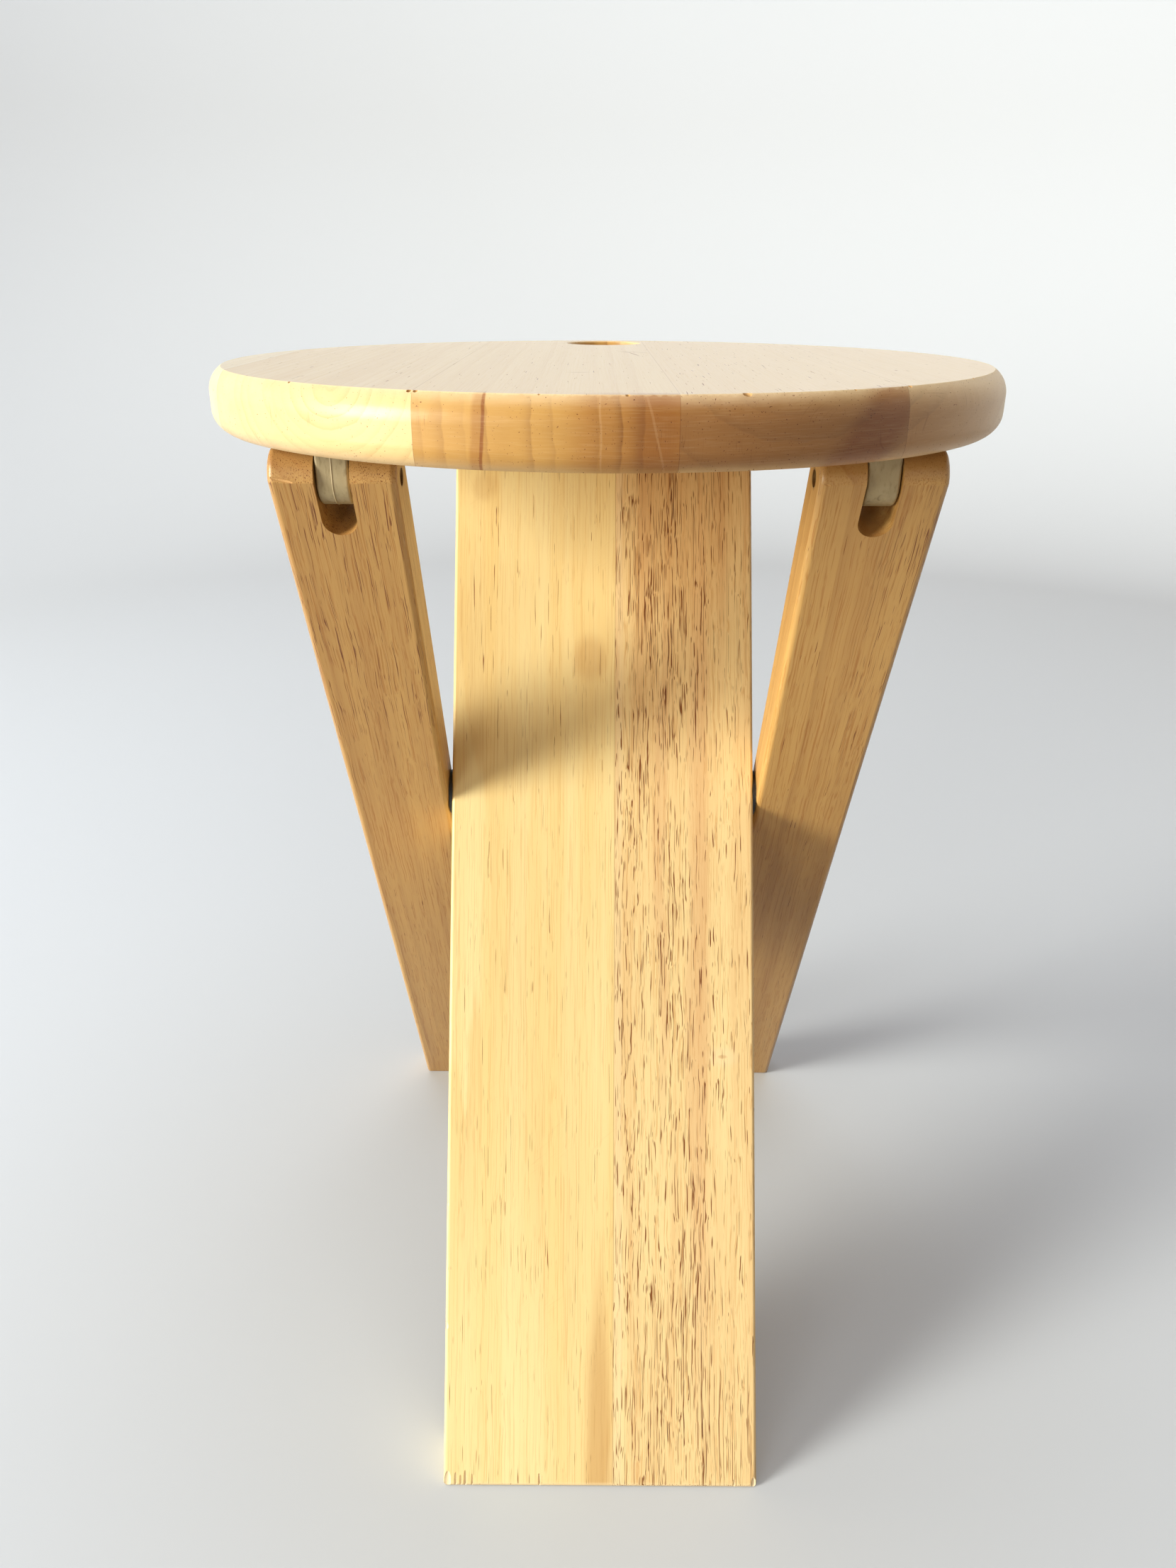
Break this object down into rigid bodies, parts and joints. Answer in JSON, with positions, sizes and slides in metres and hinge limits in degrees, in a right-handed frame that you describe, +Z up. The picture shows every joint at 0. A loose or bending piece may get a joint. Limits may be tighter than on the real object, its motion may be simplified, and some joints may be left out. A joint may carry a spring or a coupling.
{
  "type": "folding stool",
  "caption": "Round wooden seat on crossed legs: a wide centre leg pivots between narrow side legs, and the hinged seat lifts so that it all folds flat and hangs by its hole.",
  "frame": {"origin": "on the floor, under the centre of the seat and midway between the front and rear feet", "axes": "+Z up; +X to the right and +Y to the rear, seen from the side the centre leg's foot points to"},
  "size_m": [0.3, 0.302, 0.45],
  "materials": {
    "seat_wood": "pale hardwood under clear satin lacquer",
    "leg_wood": "tan hardwood under clear satin lacquer",
    "hinge_nylon": "aged cream moulded nylon",
    "spacer_nylon": "black moulded nylon",
    "zinc_steel": "zinc-plated steel"
  },
  "bodies": {
    "side_legs": {"side_leg_left": "leg_wood", "side_leg_right": "leg_wood", "hinge_pin_left": "zinc_steel", "hinge_pin_right": "zinc_steel"},
    "seat": {"seat_stave_left_edge": "seat_wood", "seat_stave_left": "seat_wood", "seat_stave_middle": "seat_wood", "seat_stave_right": "seat_wood", "seat_stave_right_edge": "seat_wood", "hinge_leaf_left": "hinge_nylon", "hinge_leaf_right": "hinge_nylon", "hinge_screws_left": "zinc_steel", "hinge_screws_right": "zinc_steel", "stop_block_left": "leg_wood", "stop_block_right": "leg_wood", "stop_screws_left": "zinc_steel", "stop_screws_right": "zinc_steel"},
    "centre_leg": {"centre_leg_left_board": "leg_wood", "centre_leg_right_board": "leg_wood", "pivot_sleeve_left": "zinc_steel", "pivot_sleeve_right": "zinc_steel", "pivot_spacer_left": "spacer_nylon", "pivot_spacer_right": "spacer_nylon", "pivot_bolt_left": "zinc_steel", "pivot_bolt_right": "zinc_steel"}
  },
  "joints": [
    {"name": "seat_fold", "type": "hinge", "parent": "side_legs", "child": "seat", "pos_m": [0, -0.083, 0.41785], "axis": [1, 0, 0], "range_deg": [0, 118]},
    {"name": "centre_leg_fold", "type": "hinge", "parent": "side_legs", "child": "centre_leg", "pos_m": [0, 0, 0.26326], "axis": [1, 0, 0], "range_deg": [0, 56]}
  ],
  "couplings": [
    {"joint": "centre_leg_fold", "follows": "seat_fold", "ratio": 0.47458}
  ]
}
